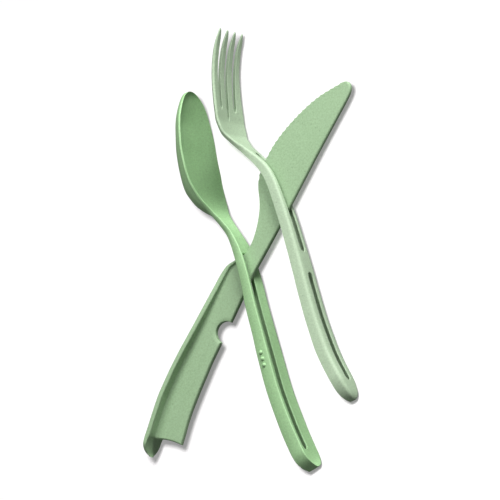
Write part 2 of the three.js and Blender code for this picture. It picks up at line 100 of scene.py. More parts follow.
# every column of a table at x, on smooth curves that don't overshoot the rows
def rowsAt(rows, x):
    i = min(max(bisect_right([r[0] for r in rows], x) - 1, 0), len(rows) - 2)
    a, b = rows[i], rows[i + 1]
    span = b[0] - a[0]
    t = min(1.0, max(0.0, (x - a[0]) / span))
    out = [x]
    for k in range(1, len(a)):
        m = (b[k] - a[k]) / span
        before = (a[k] - rows[i - 1][k]) / (a[0] - rows[i - 1][0]) if i else m
        after = (rows[i + 2][k] - b[k]) / (rows[i + 2][0] - b[0]) if i < len(rows) - 2 else m
        s0 = 2 * before * m / (before + m) if before * m > 0 else 0
        s1 = 2 * after * m / (after + m) if after * m > 0 else 0
        t2, t3 = t * t, t * t * t
        out.append(
            (2 * t3 - 3 * t2 + 1) * a[k] + (t3 - 2 * t2 + t) * span * s0
            + (3 * t2 - 2 * t3) * b[k] + (t3 - t2) * span * s1
        )
    return out


# a piece's middle line at x: its place and its direction, as x, z and a unit vector
def lineAt(rows, x):
    reach = 0.4
    p = rowsAt(rows, max(rows[0][0], x - reach))
    q = rowsAt(rows, min(rows[-1][0], x + reach))
    dx, dz = q[0] - p[0], q[1] - p[1]
    size = math.hypot(dx, dz)
    return x, rowsAt(rows, x)[1], dx / size, dz / size


# places along a piece, from runs of (start, stop, count, the end they crowd towards)
def stations(runs):
    places = []
    for start, stop, count, crowded in runs:
        for i in range(count):
            t = i / count
            if crowded == "start":
                t = 1 - math.cos(t * math.pi / 2)
            elif crowded == "end":
                t = math.sin(t * math.pi / 2)
            places.append(mix(start, stop, t))
    places.append(runs[-1][1])
    return places


# half the width at x of a slot with round ends
def slotHalf(x, start, stop, width):
    r = width / 2
    if x <= start or x >= stop:
        return 0.0
    d = min(x - start, stop - x)
    return r if d >= r else math.sqrt(max(0.0, r * r - (r - d) ** 2))


# distance in the piece's plan from points (x, across) to the nearest of some outlines
def distanceTo(curves, x, across):
    window = 4.0  # steps of an outline further off than this are left out
    points = np.stack([np.full(len(across), x), np.asarray(across, float)], 1)
    best = np.full(len(points), 1e9)
    for curve in curves:
        a, b = curve[:-1], curve[1:]
        low = np.minimum(a[:, 0], b[:, 0])
        high = np.maximum(a[:, 0], b[:, 0])
        near = (high > x - window) & (low < x + window)
        a, b = a[near], b[near]
        if not len(a):
            continue
        ab = b - a
        size = np.maximum((ab * ab).sum(1), tiny ** 2)
        t = np.clip(((points[:, None] - a) * ab).sum(2) / size, 0, 1)
        gap = points[:, None] - (a + t[..., None] * ab)
        best = np.minimum(best, np.sqrt((gap * gap).sum(2)).min(1))
    return best


# how much of a roof's thickness is left across a handle with a slot of this half width
def mouthShare(w, slot):
    if slot <= 0:
        return 1.0
    return mix(mouthThin, 1, np.clip((np.asarray(w, float) - slot) / mouthRun, 0, 1))


def planCurve(edge, places):
    return np.array([(x, edge(x)) for x in places])


# a rounded end in plan: the share of the full width at a place within the end's run
def roundEnd(place, run, full):
    return max(0.0, 1 - (1 - place / run) ** full) ** (1 / full) if place < run else 1.0


def edgeSteps(radius, count=4):
    return [radius * (1 - math.cos(i / count * math.pi / 2)) for i in range(count + 1)]


# places across a strip, closer together where its edges are rounded
def acrossStrip(start, stop, count, startRound, stopRound):
    room = 0.3 * max(0.0, stop - start)
    low = [start + d for d in edgeSteps(min(startRound, room))]
    high = [stop - d for d in edgeSteps(min(stopRound, room))][::-1]
    middle = [mix(low[-1], high[0], (i + 1) / (count + 1)) for i in range(count)]
    return low + middle + high


# a skin over half sections and their mirror image; an end closes where its section has no width
def skin(line, sections):
    points, faces, marks = [], [], []

    def put(at, w, n):
        x, z, alongX, alongZ = at
        points.append((x - alongZ * n, w, z + alongX * n))
        return len(points) - 1

    rings = []
    for section in sections:
        at = lineAt(line, section["x"]) if line else (section["x"], 0.0, 1.0, 0.0)
        sides = []
        for side in (1, -1):
            strips = []
            for strip in section["strips"]:
                ids = [put(at, side * w, n) for w, n in strip["top"] + strip["under"]]
                marks.extend(strip.get("marks", [None] * len(ids)))
                strips.append((ids, len(strip["top"]), strip["open"]))
            sides.append(strips)
        rings.append(sides)
    for a, b in zip(rings, rings[1:]):
        for side in (0, 1):
            for (ids, tops, isOpen), (nextIds, _, nextOpen) in zip(a[side], b[side]):
                n = len(ids)
                for j in range(n):
                    k = (j + 1) % n
                    if j == n - 1 and not (isOpen[0] or nextOpen[0]):
                        continue
                    if j == tops - 1 and not (isOpen[1] or nextOpen[1]):
                        continue
                    quad = [ids[j], nextIds[j], nextIds[k], ids[k]]
                    faces.append(quad[::-1] if side else quad)
    return np.array(points, float), faces, marks


# merges what coincides, drops what has no area, turns the faces out, and lays the piece
def closedMesh(name, points, faces, place, marks=None):
    keys, order, lookup = {}, [], []
    for i, (x, w, z) in enumerate(points):
        side = 1 if w >= 0 else -1
        key = (round(x, 4), round(abs(w), 4) * side + 0.0, round(z, 4))
        if key not in keys:
            keys[key] = len(order)
            order.append(i)
        lookup.append(keys[key])
    kept = points[order]
    clean = []
    for face in faces:
        ids = [lookup[i] for i in face]
        ids = [v for i, v in enumerate(ids) if v != ids[i - 1]]
        if len(set(ids)) == len(ids) and len(ids) >= 3:
            clean.append(ids)
    volume = sum(
        np.dot(kept[f[0]], np.cross(kept[f[i]], kept[f[i + 1]]))
        for f in clean for i in range(1, len(f) - 1)
    )
    if volume < 0:
        clean = [face[::-1] for face in clean]
    mesh = bpy.data.meshes.new(name)
    mesh.from_pydata(place(kept).tolist(), [], clean)
    for key in (marks[0] if marks else ()):
        values = np.array([marks[i][key] for i in order], np.float32)
        isVector = values.ndim == 2
        attribute = mesh.attributes.new(key, "FLOAT_VECTOR" if isVector else "FLOAT", "POINT")
        attribute.data.foreach_set("vector" if isVector else "value", values.ravel())
    mesh.validate()
    return mesh


def inScene(name, mesh):
    made = bpy.data.objects.new(name, mesh)
    bpy.context.scene.collection.objects.link(made)
    return made


# a finished piece: smooth but for its sharp edges, with its flat faces kept flat
def pieceOf(name, mesh, material, sharpFrom=50):
    mesh.polygons.foreach_set("use_smooth", [True] * len(mesh.polygons))
    mesh.set_sharp_from_angle(angle=math.radians(sharpFrom))
    mesh.materials.append(material)
    piece = inScene(name, mesh)
    even = piece.modifiers.new("even shading", "WEIGHTED_NORMAL")
    even.keep_sharp = True
    even.weight = 60  # broad faces count a little more than narrow ones
    return piece


# Where the set lies, read from the frame: the knife's flat face is the record's mount.
mount = frame["record"]["mounts"][0]
up = Vector(mount["axis"]).normalized()
turn = Vector((0, 0, 1)).rotation_difference(up).to_matrix()


# a piece's line in the layout: its start, its direction and the way its upper side looks
def lineOf(end, heading):
    a = math.radians(heading)
    return Vector((*end, 0)), Vector((math.cos(a), math.sin(a), 0)), Vector((math.sin(a), -math.cos(a), 0))


# where a piece starts so that it crosses the knife's line at the two given places
def startOf(name):
    end, along, _ = lineOf(layout["knifeEnd"], layout["knifeHeading"])
    a = math.radians(layout[name + "Heading"])
    at = end + along * layout[name + "OnKnife"]
    own = layout[name + "Own"]
    return at.x - own * math.cos(a), at.y - own * math.sin(a)


lines = {"knife": (*lineOf(layout["knifeEnd"], layout["knifeHeading"]), layout["knifeDrift"])}
for name in ("spoon", "fork"):
    lines[name] = (*lineOf(startOf(name), layout[name + "Heading"]), 0)


def flatPoint(name, x, w, z):
    end, along, food, drift = lines[name]
    return end + along * x + food * z + Vector((0, 0, drift + w))


shift = Vector(mount["pos_m"]) - turn @ flatPoint("knife", *layout["plateMark"]) * mm


# a function that lays points (x, w, z) of one piece into the frame, in metres
def layer(name):
    end, along, food, drift = lines[name]
    basis = np.array(turn) @ np.array([along, Vector((0, 0, 1)), food]).T
    origin = np.array(turn @ (end + Vector((0, 0, drift))) * mm + shift)
    return lambda points: points @ basis.T * mm + origin


def direction(name, x, w, z):
    _, along, food, _ = lines[name]
    return turn @ (along * x + Vector((0, 0, w)) + food * z)


# Spoon
spoon = {
    "length": 192.0,
    "bowlWidth": 34.4,
    "bowlDepth": 9.0,
    "bowlWall": 2.0,
    "rimWall": 1.2,
    "handleWidth": 16.0,
    "skirt": 8.1,
    "dish": 2.1,
    "draft": 1.0,
    "slotFrom": 10.0,
    "slotTo": 109.0,
    "handleEnd": 8.5,
    "bowlEnd": 30.0,
    "rimRound": 1.0,
    "slotRound": 0.45,
    "footRound": 0.4,
    "bumps": 3,
    "bumpSize": 2.3,
    "bumpPitch": 3.1,
    "bumpFrom": 53.0,
    "endRound": 2.2,  # how full the outline is at the handle's end and at the bowl's tip
    "tipRound": 2.02,
    "bowlFrom": 121.0,  # the section changes from channel to bowl along this run
    "bowlRun": 24.0,
    "rimFrom": 130.0,  # and the bowl's rim gets thin along this one
    "rimRun": 22.0,
    "thinnest": 0.3,
    "bumpHeight": 0.58,  # how far down the skirt the bumps sit, as a share of it
    "bumpSunk": 0.05,
}
halfHandle, dish, skirt = spoon["handleWidth"] / 2, spoon["dish"], spoon["skirt"]
bowlWidth, bowlDepth = spoon["bowlWidth"], spoon["bowlDepth"]

# x, height of the rim, half width, dish, skirt, hollow (0) or full (1)
spoonRows = [
    [0, -1.2, halfHandle, dish, skirt * 0.74, 1],
    [2.4, -1.6, halfHandle, dish, skirt * 0.83, 1],
    [5.5, -2.1, halfHandle, dish, skirt * 0.89, 0],
    [11.4, -2.7, halfHandle, dish, skirt * 0.92, 0],
    [22, -3.5, halfHandle * 1.02, dish, skirt * 0.9, 0],
    [38, -3.9, halfHandle * 1.0, dish, skirt * 0.87, 0],
    [58, -2.75, halfHandle * 0.96, dish, skirt * 0.84, 0],
    [68, -2.0, halfHandle * 0.93, dish, skirt * 0.79, 0],
    [83, -0.9, halfHandle * 0.9, dish, skirt * 0.75, 0],
    [93, 0.15, halfHandle * 0.88, dish, skirt * 0.68, 0],
    [102, 0.8, halfHandle * 0.86, dish, skirt * 0.65, 0],
    [107, 0.9, halfHandle * 0.81, dish, skirt * 0.63, 0],
    [111, 0.7, halfHandle * 0.79, dish, skirt * 0.59, 0.1],
    [115.4, 0.05, halfHandle * 0.73, dish * 0.9, skirt * 0.53, 0.5],
    [120, -1.0, halfHandle * 0.68, dish * 0.8, skirt * 0.46, 1],
    [126, -2.9, halfHandle * 0.8, bowlDepth * 0.22, skirt * 0.39, 1],
    [132, -4.9, bowlWidth * 0.26, bowlDepth * 0.36, skirt * 0.31, 0.3],
    [137.3, -6.1, bowlWidth * 0.36, bowlDepth * 0.62, skirt * 0.24, 0],
    [142.5, -6.9, bowlWidth * 0.425, bowlDepth * 0.82, skirt * 0.17, 0],
    [147.7, -7.1, bowlWidth * 0.47, bowlDepth * 0.94, skirt * 0.16, 0],
    [155, -6.4, bowlWidth * 0.5, bowlDepth * 0.93, skirt * 0.15, 0],
    [162.3, -5.4, bowlWidth * 0.5, bowlDepth * 0.88, skirt * 0.15, 0],
    [170, -3.7, bowlWidth * 0.5, bowlDepth * 0.79, skirt * 0.15, 0],
    [178, -1.9, bowlWidth * 0.5, bowlDepth * 0.7, skirt * 0.15, 0],
    [185.5, 0.1, bowlWidth * 0.5, bowlDepth * 0.62, skirt * 0.14, 0],
    [192, 1.4, bowlWidth * 0.5, bowlDepth * 0.55, skirt * 0.13, 0],
]


def spoonEdge(x):
    half = rowsAt(spoonRows, x)[2] * roundEnd(x, spoon["handleEnd"], spoon["endRound"])
    return half * roundEnd(spoon["length"] - x, spoon["bowlEnd"], spoon["tipRound"])


def spoonSlot(x):
    return slotHalf(x, spoon["slotFrom"], spoon["slotTo"], slotWidth)


# half of the spoon's section at x: the upper face, then the under side from the rim to the slot
def spoonSection(x, rim, slotLine):
    _, _, half, deepest, foot, full = rowsAt(spoonRows, x)
    edge = spoonEdge(x)
    slot = min(edge, spoonSlot(x))
    bowl = ease((x - spoon["bowlFrom"]) / spoon["bowlRun"])
    deep = deepest * (min(1.0, edge / half * 1.15) if edge < half else 1)
    rimRound = min(spoon["rimRound"], 0.4 * foot)
    thinned = min(1.0, edge / 3 + 0.4)  # walls get thinner towards both ends

    def face(w):
        return -deep * (1 - (np.asarray(w) / max(edge, tiny)) ** 2)

    across = acrossStrip(slot, edge, 16, spoon["slotRound"], rimRound)
    lowered = face(across) - roundOff(distanceTo([rim], x, across), rimRound)
    lowered = lowered - roundOff(distanceTo([slotLine], x, across), spoon["slotRound"])
    top = list(zip(across, lowered.tolist()))

    side = max(0.0, edge - spoon["draft"])
    inside = max(slot, min(side, edge - mix(wallThick, 1.0, bowl)))
    corner = min(spoon["footRound"], 0.35 * max(0.0, side - inside), 0.3 * foot)
    soft = corner * cornerShare
    bend = min(0.8, 0.3 * max(0.0, inside - slot))

    def roof(w):
        return mix(float(face(w)) - roofThick * thinned * mouthShare(w, slot), -foot, full)

    handle = [(mix(edge, side, t * t), mix(-rimRound, -foot + corner, t)) for t in (0.35, 0.7, 1.0)]
    handle += [(side - soft, -foot + soft), (side - corner, -foot), (inside + corner, -foot)]
    handle += [(inside + soft, mix(-foot + soft, -foot, full)), (inside, mix(-foot + corner, -foot, full))]
    handle += [(inside, mix(-foot + corner, roof(inside) - bend, 0.5))]
    handle += [(inside, roof(inside) - bend * (1 - full))]
    handle += [(inside - bend * 0.3, roof(inside) - bend * 0.3 * (1 - full))]
    handle += [(w, roof(w)) for w in (mix(inside - bend, slot, i / 7) for i in range(8))]

    bowlThick = spoon["bowlWall"] * thinned
    lip = mix(foot, min(spoon["rimWall"], foot), ease((x - spoon["rimFrom"]) / spoon["rimRun"]))

    def belly(u):
        thin = mix(1.0, lip / bowlThick, ease((u - 0.8) / 0.2))
        return -deep * (1 - u * u) - bowlThick * thin

    # as many points under the bowl as under the handle, so that one can turn into the other
    steps = len(handle) - 3
    outer = [(edge, mix(-rimRound, -lip, t)) for t in (0.5, 0.85)]
    for i in range(steps + 1):
        u = math.cos(i / steps * math.pi / 2) ** 0.8
        outer.append((edge * u, belly(u)))
    under = []
    for (handleW, handleN), (bowlW, bowlN) in zip(handle, outer):
        w = mix(handleW, bowlW, bowl)
        under.append((w, min(mix(handleN, bowlN, bowl), float(face(w)) - spoon["thinnest"])))
    return {"x": x, "strips": [{"top": top, "under": under, "open": (slot > 0, edge > 0)}]}


def buildSpoon(material):
    start, stop, r = spoon["slotFrom"], spoon["slotTo"], slotWidth / 2
    round0, round1 = start - spoon["slotRound"], stop + spoon["slotRound"]
    places = stations([
        (0, 3, 14, "start"), (3, 8.5, 10, ""), (8.5, round0, 3, ""), (round0, start, 5, ""),
        (start, start + r, 12, "start"), (start + r, 30, 16, ""), (30, stop - r - 1, 66, ""),
        (stop - r - 1, stop - r, 2, ""), (stop - r, stop, 12, "end"), (stop, round1, 5, ""),
        (round1, 150, 34, ""), (150, 180, 26, ""), (180, spoon["length"], 34, "end"),
    ])
    rim = planCurve(spoonEdge, stations([
        (0, 9, 60, "start"), (9, 162, 90, ""), (162, spoon["length"], 90, "end"),
    ]))
    slotLine = planCurve(spoonSlot, stations([
        (start, start + r, 24, "start"), (start + r, stop - r, 12, ""), (stop - r, stop, 24, "end"),
    ]))
    points, faces, _ = skin(spoonRows, [spoonSection(x, rim, slotLine) for x in places])
    mesh = closedMesh("spoonBody", points, faces, layer("spoon"))
    print("spoon body:", len(mesh.polygons), "faces")
    return pieceOf("spoonBody", mesh, material)


# Fork
fork = {
    "length": 189.0,
    "tableLength": 188.0,
    "headWidth": 26.8,
    "handleWidth": 15.0,
    "arch": 6.1,
    "noseRun": 4.5,
    "noseDrop": 2.2,
    "tineLength": 35.6,
    "gapPitch": 6.75,
    "gapAtRoot": 2.1,
    "tipPitch": 7.1,
    "tipWidth": 3.2,
    "lowerSlot": (10.0, 65.0),
    "upperSlot": (75.5, 129.0),
    "handleEnd": 14.0,
    "endRound": 2.1,  # how full the outline is at the handle's end
    "middleDeeper": 3.5,  # the middle gap is cut deeper than the side gaps
    "middleRound": 6.0,  # how long the round root of each gap is
    "sideRound": 3.0,
    "pointRun": 5.5,
    "thinFrom": 9.0,  # the tines get thinner over this length, down to this share
    "thinTip": 0.35,
    "edgeRound": 1.6,
    "gapRound": 0.25,
    "tineDraft": 0.8,
    "slotRound": 0.35,
    "square": 5.5,  # how square the arch of the handle is
    "sideTurn": 0.9,  # the part of the arch's height that is left to the skirt's foot
}
forkScale = fork["length"] / fork["tableLength"]
halfFork, halfHead, arch = fork["handleWidth"] / 2, fork["headWidth"] / 2, fork["arch"]

# x, height of the crest, half width, arch height, rise of the head's sides,
# handle (1) or head (0), hollow (0) or full (1)
forkRows = [[row[0] * forkScale, *row[1:]] for row in [
    [0, 0.75, halfFork, arch * 0.6, 0, 1, 1],
    [1.2, 0.75, halfFork, arch * 0.7, 0, 1, 1],
    [3, 0.7, halfFork, arch * 0.82, 0, 1, 1],
    [6.5, 0.55, halfFork, arch * 0.93, 0, 1, 0],
    [10, 0.3, halfFork, arch * 0.97, 0, 1, 0],
    [14, -0.3, halfFork, arch * 0.98, 0, 1, 0],
    [20.7, -1.35, halfFork, arch * 0.98, 0, 1, 0],
    [28, -2.0, halfFork * 0.98, arch, 0, 1, 0],
    [40.7, -2.3, halfFork * 0.93, arch * 0.95, 0, 1, 0],
    [56, -1.75, halfFork * 0.88, arch * 0.92, 0, 1, 0],
    [66, -1.1, halfFork * 0.84, arch * 0.9, 0, 1, 0],
    [80, -0.5, halfFork * 0.78, arch * 0.86, 0, 1, 0],
    [94, -0.15, halfFork * 0.73, arch * 0.82, 0, 1, 0],
    [106.9, -0.35, halfFork * 0.68, arch * 0.78, 0, 1, 0],
    [114, -1.0, halfFork * 0.64, arch * 0.75, 0, 1, 0],
    [120.5, -2.7, halfFork * 0.6, arch * 0.72, 0, 1, 0.3],
    [126, -5.6, halfFork * 0.62, arch * 0.58, 0, 0.9, 1],
    [132.3, -9.6, halfFork * 0.8, arch * 0.45, 0.2, 0.5, 1],
    [137, -13.0, halfHead * 0.68, arch * 0.38, 0.9, 0.15, 1],
    [142, -15.5, halfHead * 0.9, arch * 0.33, 1.3, 0, 1],
    [147, -15.6, halfHead * 0.985, arch * 0.31, 1.4, 0, 1],
    [152, -14.6, halfHead, arch * 0.3, 1.3, 0, 1],
    [160, -12.5, halfHead, arch * 0.3, 1.0, 0, 1],
    [170, -9.2, halfHead * 0.985, arch * 0.29, 0.6, 0, 1],
    [179, -4.8, halfHead * 0.97, arch * 0.28, 0.2, 0, 1],
    [188, 0.8, halfHead * 0.95, arch * 0.24, 0, 0, 1],
]]


def scaled(runs):
    return [x * forkScale for x in stations(runs)]


# how far open a gap with a round root is, as a share, at a distance into it
def opened(into, roundRun):
    return math.sqrt(1 - (1 - min(1, into / roundRun)) ** 2) if into > 0 else 0.0


# the two tines on one side, as the half widths between which each lies
def tinesAt(fromTip):
    pitch, gap, tipPitch = fork["gapPitch"], fork["gapAtRoot"] / 2, fork["tipPitch"]
    along = 1 - min(1, fromTip / fork["tineLength"])
    t = fromTip / fork["pointRun"]
    point = max(0.0, 1 - (1 - t) ** 2) ** 0.55 if t < 1 else 1
    tines = []
    for low, high, tipMiddle in ((gap, pitch - gap, tipPitch / 2), (pitch + gap, halfHead, tipPitch * 1.5)):
        reach = mix((high - low) / 2, fork["tipWidth"] / 2, along) * point
        middle = mix((low + high) / 2, tipMiddle, along)
        tines.append((middle - reach, middle + reach))
    return tines


# half widths in plan: outer edge, the slot or middle gap, and the side gap's two edges
def forkPlan(x):
    edge = rowsAt(forkRows, x)[2] * roundEnd(x, fork["handleEnd"] * forkScale, fork["endRound"])
    fromTip = (fork["length"] - x) / forkScale
    tineRoot = fork["tineLength"]
    root = tineRoot + fork["middleDeeper"]
    tined = fromTip <= root + fork["middleRound"]
    (innerLow, innerHigh), (outerLow, outerHigh) = tinesAt(fromTip)
    middleGap = opened(root - fromTip, fork["middleRound"]) * innerLow
    sideGap = opened(tineRoot - 1 - fromTip, fork["sideRound"])
    ends = (fork["lowerSlot"], fork["upperSlot"])
    slots = [slotHalf(x, start * forkScale, stop * forkScale, slotWidth) for start, stop in ends]
    middle = min(edge * 0.999, max(*slots, middleGap))
    seam = min((innerHigh + outerLow) / 2, edge * 0.55)
    if fromTip < tineRoot - 3:
        edge = outerHigh
    elif fromTip < tineRoot + 8:
        edge = mix(outerHigh, edge, ease((fromTip - tineRoot + 3) / 11))
    return {
        "edge": edge,
        "middle": middle,
        "inner": mix(seam, innerHigh, sideGap),
        "outer": mix(seam, outerLow, sideGap),
        "middleOpen": min(1.0, middle / (fork["gapAtRoot"] / 2)) if tined else 0.0,
        "sideOpen": sideGap,
        "fromTip": fromTip,
    }


# half of the fork's section at x, as two strips with the side gap between them
def forkSection(x, curves):
    plan = forkPlan(x)
    _, _, half, height, rise, arched, full = rowsAt(forkRows, x)
    edge, slot, fromTip = plan["edge"], plan["middle"], plan["fromTip"]
    headly = 1 - arched
    tip = mix(fork["thinTip"], 1, math.sqrt(fromTip / fork["thinFrom"])) if fromTip < fork["thinFrom"] else 1
    nose = 0
    if x < fork["noseRun"]:
        nose = fork["noseDrop"] * (1 - math.sqrt(1 - (1 - x / fork["noseRun"]) ** 2))
    hollow = max(1e-3, edge - wallThick)
    inside = max(min(slot, edge), min(edge, hollow))

    def drop(w, fall, width):
        u = np.clip(np.asarray(w, float) / max(width, tiny), 0, 1)
        return fall * (1 - np.maximum(0, 1 - u ** fork["square"]) ** (1 / fork["square"]))

    def crest(w):
        w = np.asarray(w, float)
        dished = rise * (w / max(half, tiny)) ** 2
        return mix(dished, -nose - drop(w, height - nose - fork["sideTurn"], max(edge, tiny)), arched)

    def foot(w):
        return mix(crest(w) - height * tip, -height, arched)

    def roof(w):
        return np.maximum(-height, -roofThick * mouthShare(w, slot) - drop(w, height - roofThick, hollow))

    def low(w):
        return mix(mix(roof(w), foot(w), full if arched > 0.99 else 1), foot(w), full)

    def rounded(across, gapRound, edgeRound):
        gapPart = roundOff(distanceTo(curves["gaps"], x, across), gapRound)
        if arched > 0.99:
            return gapPart, np.zeros(len(across))
        return gapPart, roundOff(distanceTo([curves["edge"]], x, across), edgeRound) * headly

    def strip(start, stop, count, isEdge, startOpen, stopOpen):
        width = max(tiny, stop - start)
        draft = min(fork["tineDraft"], 0.3 * width) * headly
        narrow = 0.45 * width if headly > 0.5 else math.inf
        gapRound = min(mix(fork["slotRound"], fork["gapRound"], headly), narrow, 0.45 * height * tip)
        overEdge = min(fork["edgeRound"], narrow, 0.58 * height * tip)
        underEdge = min(overEdge, 0.3 * height * tip)
        across = acrossStrip(start, stop, count, gapRound, overEdge if isEdge else gapRound)
        gapDrop, edgeDrop = rounded(across, gapRound, overEdge)
        top = list(zip(across, (crest(across) - gapDrop - edgeDrop).tolist()))
        lean = draft / width
        drafted = [w + lean * (startOpen * (stop - w) - stopOpen * (w - start)) for w in across[::-1]]
        gapLift, edgeLift = rounded(drafted, gapRound, underEdge)
        if not isEdge:
            return top, [(w, float(low(w)) + lift * headly) for w, lift in zip(drafted, gapLift)]
        # under the handle the outer strip is a skirt and a roof, under the head it is one face
        roofFrom = max(start, min(stop, mix(stop, inside, 1 - full)))
        back = [stop, roofFrom] + [mix(roofFrom, start, k) for k in edgeSteps(1.0, 12)[1:]]
        heights = [float(foot(stop)), float(foot(roofFrom))] + [float(low(w)) for w in back[2:]]
        if headly > 0.001:
            flat = (foot(np.array(drafted)) + (gapLift + edgeLift) * headly).tolist()
            spots = np.linspace(0, len(drafted) - 1, len(back)).round().astype(int)
            back = [mix(w, drafted[spot], headly) for w, spot in zip(back, spots)]
            heights = [mix(n, flat[spot], headly) for n, spot in zip(heights, spots)]
        return top, list(zip(back, heights))

    split = plan["sideOpen"] > 0
    inner = strip(slot, max(slot, plan["inner"]), 8, False, plan["middleOpen"], plan["sideOpen"])
    outer = strip(max(slot, plan["outer"]), edge, 9, True, plan["sideOpen"], 1.0)
    return {"x": x, "strips": [
        {"top": inner[0], "under": inner[1], "open": (slot > 0, split)},
        {"top": outer[0], "under": outer[1], "open": (split, edge > 0)},
    ]}


def buildFork(material):
    r, edge = slotWidth / 2, fork["slotRound"]
    low0, low1 = fork["lowerSlot"]
    up0, up1 = fork["upperSlot"]
    root = fork["tableLength"] - fork["tineLength"]
    middleRoot, sideRoot = root - fork["middleDeeper"], root + 1
    places = scaled([
        (0, 3, 14, "start"), (3, low0 - edge, 14, ""), (low0 - edge, low0, 4, ""),
        (low0, low0 + r, 12, "start"), (low0 + r, low1 - r, 40, ""), (low1 - r, low1, 12, "end"),
        (low1, low1 + edge, 4, ""), (low1 + edge, up0 - edge, 7, ""), (up0 - edge, up0, 4, ""),
        (up0, up0 + r, 12, "start"), (up0 + r, up1 - r, 42, ""), (up1 - r, up1, 12, "end"),
        (up1, up1 + edge, 4, ""), (up1 + edge, middleRoot - 0.7, 22, ""),
        (middleRoot - 0.7, middleRoot, 5, ""), (middleRoot, middleRoot + 1, 8, "start"),
        (middleRoot + 1, sideRoot - 0.6, 6, ""), (sideRoot - 0.6, sideRoot, 5, ""),
        (sideRoot, sideRoot + 3, 14, "start"), (sideRoot + 3, 179, 26, ""), (179, 188, 26, "end"),
    ])
    tips = (179, 188, 50, "end")
    middleFine = scaled([(middleRoot, root + 1.5, 60, "start"), (root + 1.5, 179, 30, ""), tips])
    sideFine = scaled([(sideRoot, sideRoot + 3, 50, "start"), (sideRoot + 3, 179, 30, ""), tips])

    def outline(part, fine):
        return planCurve(lambda x: forkPlan(x)[part], fine)

    gaps = [outline("middle", scaled([(a, a + r, 24, "start"), (a + r, c - r, 8, ""), (c - r, c, 24, "end")]))
            for a, c in (fork["lowerSlot"], fork["upperSlot"])]
    gaps += [outline("middle", middleFine), outline("inner", sideFine), outline("outer", sideFine)]
    curves = {"edge": outline("edge", scaled([(118, 179, 70, ""), tips])), "gaps": gaps}
    points, faces, _ = skin(forkRows, [forkSection(x, curves) for x in places])
    mesh = closedMesh("forkBody", points, faces, layer("fork"))
    print("fork body:", len(mesh.polygons), "faces")
    return pieceOf("forkBody", mesh, material)


# Knife
knife = {
    "plate": 3.0,
    "blade": 2.4,
    "edge": 0.6,
    "bladeFrom": 114.0,
    "bladeRun": 14.0,
    "planeFrom": -6.0,
    "planeRun": 15.0,
    "flangeThick": 2.35,
    "flangeWidth": 14.4,
    "flangeGrow": 5.5,  # the flange widens over this length at the handle's end
    "flangeStop": 106.0,  # and closes over the last flangeClose before here
    "flangeClose": 6.0,
    "thickGrow": 9.0,  # its thickness grows over this length, from this share
    "thickStart": 0.45,
    "thinFrom": 90.0,  # and falls again along this run, to this share
    "thinRun": 14.0,
    "thinShare": 0.4,
    "notchWidth": 10.6,
    "notchAt": 69.2,
    "notchMiddle": 3.9,
    "notchDish": 0.3,
    "notchDishWide": 2.0,
    "edgeRound": 0.85,
    "cutRound": 0.2,
    "flangeRound": 0.5,
    "bladeRound": 0.15,
    "rootFillet": 1.1,
    "toothPitch": 2.9,
    "toothDepth": 0.5,
    "toothFade": 2.2,
    "toothSwell": 0.12,
    "thinnest": 0.05,
}
# outlines as x and z: the end's concave cut, the handle's back, the rest of the back, the cutting edge
endArch = [(7.3, -3.0), (9.0, -0.6), (10.7, 3.0), (12.1, 7.4), (12.9, 11.8)]
backEdge = [(12.9, 11.8), (17.3, 10.7), (22.9, 9.2), (28.7, 8), (34.6, 7.1), (40.7, 6.3), (46.8, 5.6),
            (52.7, 4.9), (59, 4.5), (63.4, 4.2)]
upperBack = [(75, 3.6), (87.7, 2.7), (98.8, 1.8), (110, 1.8), (125, 1.8), (137, 1.6), (149, 1.3),
             (165, 0.95), (183, 0.8), (192, 0.7), (196.2, 0.3), (198.4, -0.6), (199.6, -2.0), (199.9, -3.1)]
cuttingEdge = [(199.9, -3.1), (199.5, -4.3), (197.4, -6.3), (193.2, -9.2), (186, -13.6), (176, -17.7),
               (165, -20.8), (156, -22.2), (150, -22.2), (145, -22.0), (141, -21.4), (137.5, -19.9),
               (134, -17.5), (130.5, -14.5), (126.5, -11.8), (122, -9.6), (117, -7.8), (111, -6.7),
               (105, -7.2)]
# x, z, share of the flange's width
flangeLine = [
    (0, -0.3, 0.75), (1.0, -1.4, 0.9), (3, -2.6, 0.97), (5.3, -3.6, 1), (8, -4.4, 1), (11, -5.0, 1),
    (16.5, -6.25, 1), (22.3, -7.55, 0.99), (28, -8.7, 0.97), (34.2, -9.5, 0.93), (40.3, -10.1, 0.9),
    (46.7, -10.5, 0.87), (53, -10.75, 0.84), (59.5, -10.9, 0.79), (65.8, -11.1, 0.74), (72, -11.35, 0.68),
    (78.5, -11.7, 0.6), (85, -12.0, 0.52), (91, -12.3, 0.45), (94.4, -12.1, 0.42), (96.8, -11.6, 0.4),
    (99.5, -10.2, 0.36), (102, -8.7, 0.3), (105, -7.4, 0.2),
]
bottomLine = [(x, z) for x, z, _ in flangeLine[:-1]] + cuttingEdge[:2:-1]


